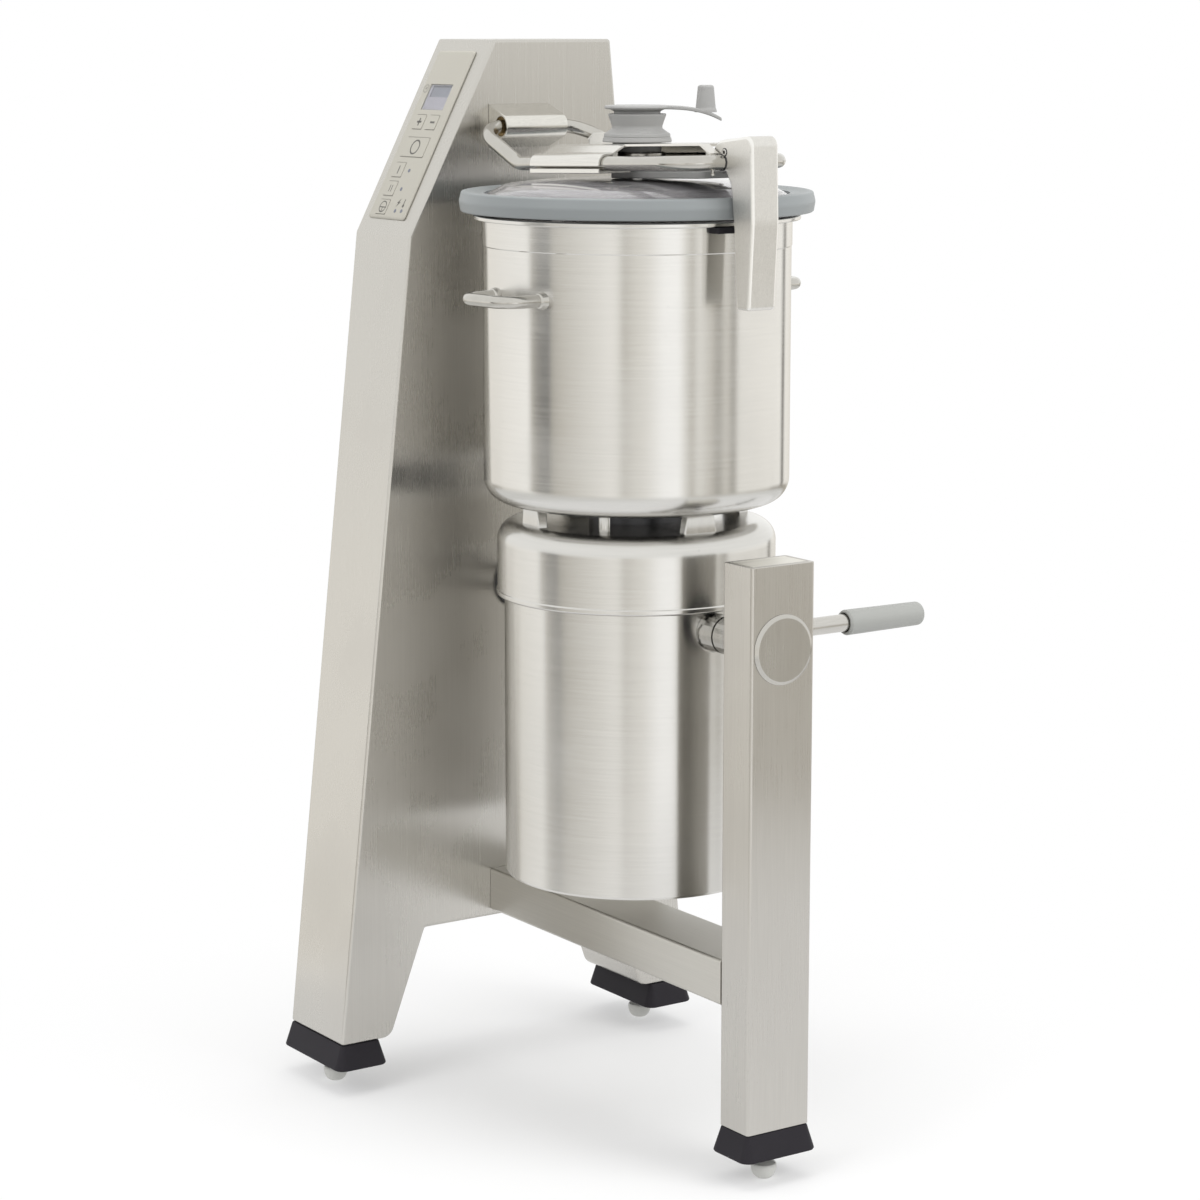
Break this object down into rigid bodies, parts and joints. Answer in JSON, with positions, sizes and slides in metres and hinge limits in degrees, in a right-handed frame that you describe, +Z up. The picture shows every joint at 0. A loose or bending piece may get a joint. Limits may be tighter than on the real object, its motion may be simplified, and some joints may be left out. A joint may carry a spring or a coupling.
{
  "type": "meat bowl cutter",
  "caption": "Floor-standing tilting bowl cutter: steel column and post, motor unit on trunnions, hinged clear lid with latch and hand-cranked wiper, lifting knives in a covered bowl.",
  "frame": {"origin": "bottom centre of the whole machine's box, on the floor", "axes": "+Z up, the operator stands on the -Y side, the column with the controls is on the -X side, the post with the tilt lever on the +X side"},
  "size_m": [0.6692, 0.5242, 1.25],
  "materials": {
    "column_shell": "brushed stainless steel",
    "column_side_cover": "brushed stainless steel",
    "control_panel": "printed film on a plate",
    "display_window": "clear grey display window",
    "keypad_board": "circuit board",
    "cable_gland": "black plastic gland",
    "cross_beam": "brushed stainless steel",
    "post_tube": "brushed stainless steel",
    "pivot_cap": "brushed stainless steel",
    "post_bearing": "bronze bush",
    "column_bearing": "bronze bush",
    "boot_front": "dark moulded plastic",
    "boot_rear": "dark moulded plastic",
    "boot_post": "dark moulded plastic",
    "foot_front": "pale grey plastic",
    "foot_rear": "pale grey plastic",
    "foot_post": "pale grey plastic",
    "hinge_housing": "brushed stainless steel",
    "hinge_bush": "bronze bush",
    "key_plus": "pale grey plastic",
    "key_minus": "pale grey plastic",
    "key_stop": "pale grey plastic",
    "key_speed_one": "pale grey plastic",
    "key_speed_two": "pale grey plastic",
    "key_pulse": "pale grey plastic",
    "motor_housing": "brushed stainless steel",
    "motor_cap": "brushed stainless steel",
    "motor_stator": "laminated stack with windings",
    "upper_bearing": "ground steel",
    "trunnion_right": "ground and polished stainless steel",
    "trunnion_left": "ground and polished stainless steel",
    "spacer_right": "ground and polished stainless steel",
    "spacer_left": "ground and polished stainless steel",
    "tilt_lever_rod": "ground and polished stainless steel",
    "bowl": "polished stainless steel",
    "bowl_handle_front": "ground and polished stainless steel",
    "bowl_handle_rear": "ground and polished stainless steel",
    "latch_keeper": "brushed stainless steel",
    "lever_grip": "moulded grey plastic",
    "motor_rotor": "laminated steel rotor",
    "drive_shaft": "ground and polished stainless steel",
    "blade_hub": "ground and polished stainless steel",
    "blade_1": "ground and polished stainless steel",
    "blade_2": "ground and polished stainless steel",
    "blade_3": "ground and polished stainless steel",
    "blade_cap": "black plastic",
    "lid_yoke": "ground and polished stainless steel",
    "lid_saddle": "brushed stainless steel",
    "lid_strap": "brushed stainless steel",
    "lid_dome": "clear plastic dome",
    "lid_rim": "moulded blue-grey plastic",
    "lid_gasket": "black rubber",
    "lid_boss": "moulded grey plastic",
    "clamp_ring": "ground and polished stainless steel",
    "wiper_housing": "moulded grey plastic",
    "wiper_crank": "moulded grey plastic",
    "wiper_shaft": "ground and polished stainless steel",
    "wiper_bar": "moulded grey plastic",
    "wiper_lip": "pale rubber lip",
    "latch_handle": "satin blasted casting"
  },
  "bodies": {
    "machine": {"column_shell": "column_shell", "column_side_cover": "column_side_cover", "control_panel": "control_panel", "display_window": "display_window", "keypad_board": "keypad_board", "cable_gland": "cable_gland", "cross_beam": "cross_beam", "post_tube": "post_tube", "pivot_cap": "pivot_cap", "post_bearing": "post_bearing", "column_bearing": "column_bearing", "boot_front": "boot_front", "boot_rear": "boot_rear", "boot_post": "boot_post", "foot_front": "foot_front", "foot_rear": "foot_rear", "foot_post": "foot_post", "hinge_housing": "hinge_housing", "hinge_bush": "hinge_bush"},
    "plus_key": {"key_plus": "key_plus"},
    "minus_key": {"key_minus": "key_minus"},
    "stop_key": {"key_stop": "key_stop"},
    "speed_one_key": {"key_speed_one": "key_speed_one"},
    "speed_two_key": {"key_speed_two": "key_speed_two"},
    "pulse_key": {"key_pulse": "key_pulse"},
    "tilt_unit": {"motor_housing": "motor_housing", "motor_cap": "motor_cap", "motor_stator": "motor_stator", "upper_bearing": "upper_bearing", "trunnion_right": "trunnion_right", "trunnion_left": "trunnion_left", "spacer_right": "spacer_right", "spacer_left": "spacer_left", "tilt_lever_rod": "tilt_lever_rod", "bowl": "bowl", "bowl_handle_front": "bowl_handle_front", "bowl_handle_rear": "bowl_handle_rear", "latch_keeper": "latch_keeper"},
    "grip": {"lever_grip": "lever_grip"},
    "rotor": {"motor_rotor": "motor_rotor", "drive_shaft": "drive_shaft", "blade_hub": "blade_hub", "blade_1": "blade_1", "blade_2": "blade_2", "blade_3": "blade_3", "blade_cap": "blade_cap"},
    "lid_arm": {"lid_yoke": "lid_yoke", "lid_saddle": "lid_saddle", "lid_strap": "lid_strap", "lid_dome": "lid_dome", "lid_rim": "lid_rim", "lid_gasket": "lid_gasket", "lid_boss": "lid_boss", "clamp_ring": "clamp_ring", "wiper_housing": "wiper_housing"},
    "wiper": {"wiper_crank": "wiper_crank", "wiper_shaft": "wiper_shaft", "wiper_bar": "wiper_bar", "wiper_lip": "wiper_lip"},
    "latch": {"latch_handle": "latch_handle"}
  },
  "joints": [
    {"name": "bowl_tilt", "type": "hinge", "parent": "machine", "child": "tilt_unit", "pos_m": [0.0495, 0.00006, 0.604], "axis": [1, 0, 0], "range_deg": [0, 90]},
    {"name": "lid_hinge", "type": "hinge", "parent": "machine", "child": "lid_arm", "pos_m": [-0.173, 0.00006, 1.15], "axis": [0, -1, 0], "range_deg": [0, 95]},
    {"name": "latch_swing", "type": "hinge", "parent": "lid_arm", "child": "latch", "pos_m": [0.23422, 0.00006, 1.1222], "axis": [0, -1, 0], "range_deg": [0, 60]},
    {"name": "wiper_spin", "type": "hinge", "parent": "lid_arm", "child": "wiper", "pos_m": [0.0495, 0.00006, 1.16], "axis": [0, 0, 1], "continuous": true},
    {"name": "blade_spin", "type": "hinge", "parent": "tilt_unit", "child": "rotor", "pos_m": [0.0495, 0.00006, 0.78], "axis": [0, 0, 1], "continuous": true},
    {"name": "grip_pull", "type": "slide", "parent": "tilt_unit", "child": "grip", "axis": [0, 1, 0], "range_m": [0, 0.01], "stiffness_N_per_m": 600},
    {"name": "plus_press", "type": "slide", "parent": "machine", "child": "plus_key", "axis": [0, 0.8864, -0.4628], "range_m": [0, 0.0006], "stiffness_N_per_m": 400},
    {"name": "minus_press", "type": "slide", "parent": "machine", "child": "minus_key", "axis": [0, 0.8864, -0.4628], "range_m": [0, 0.0006], "stiffness_N_per_m": 400},
    {"name": "stop_press", "type": "slide", "parent": "machine", "child": "stop_key", "axis": [0, 0.8864, -0.4628], "range_m": [0, 0.0006], "stiffness_N_per_m": 400},
    {"name": "speed_one_press", "type": "slide", "parent": "machine", "child": "speed_one_key", "axis": [0, 0.8864, -0.4628], "range_m": [0, 0.0006], "stiffness_N_per_m": 400},
    {"name": "speed_two_press", "type": "slide", "parent": "machine", "child": "speed_two_key", "axis": [0, 0.8864, -0.4628], "range_m": [0, 0.0006], "stiffness_N_per_m": 400},
    {"name": "pulse_press", "type": "slide", "parent": "machine", "child": "pulse_key", "axis": [0, 0.8864, -0.4628], "range_m": [0, 0.0006], "stiffness_N_per_m": 400}
  ],
  "couplings": [
    {"joint": "lid_hinge", "follows": "bowl_tilt", "ratio": 1.05}
  ]
}
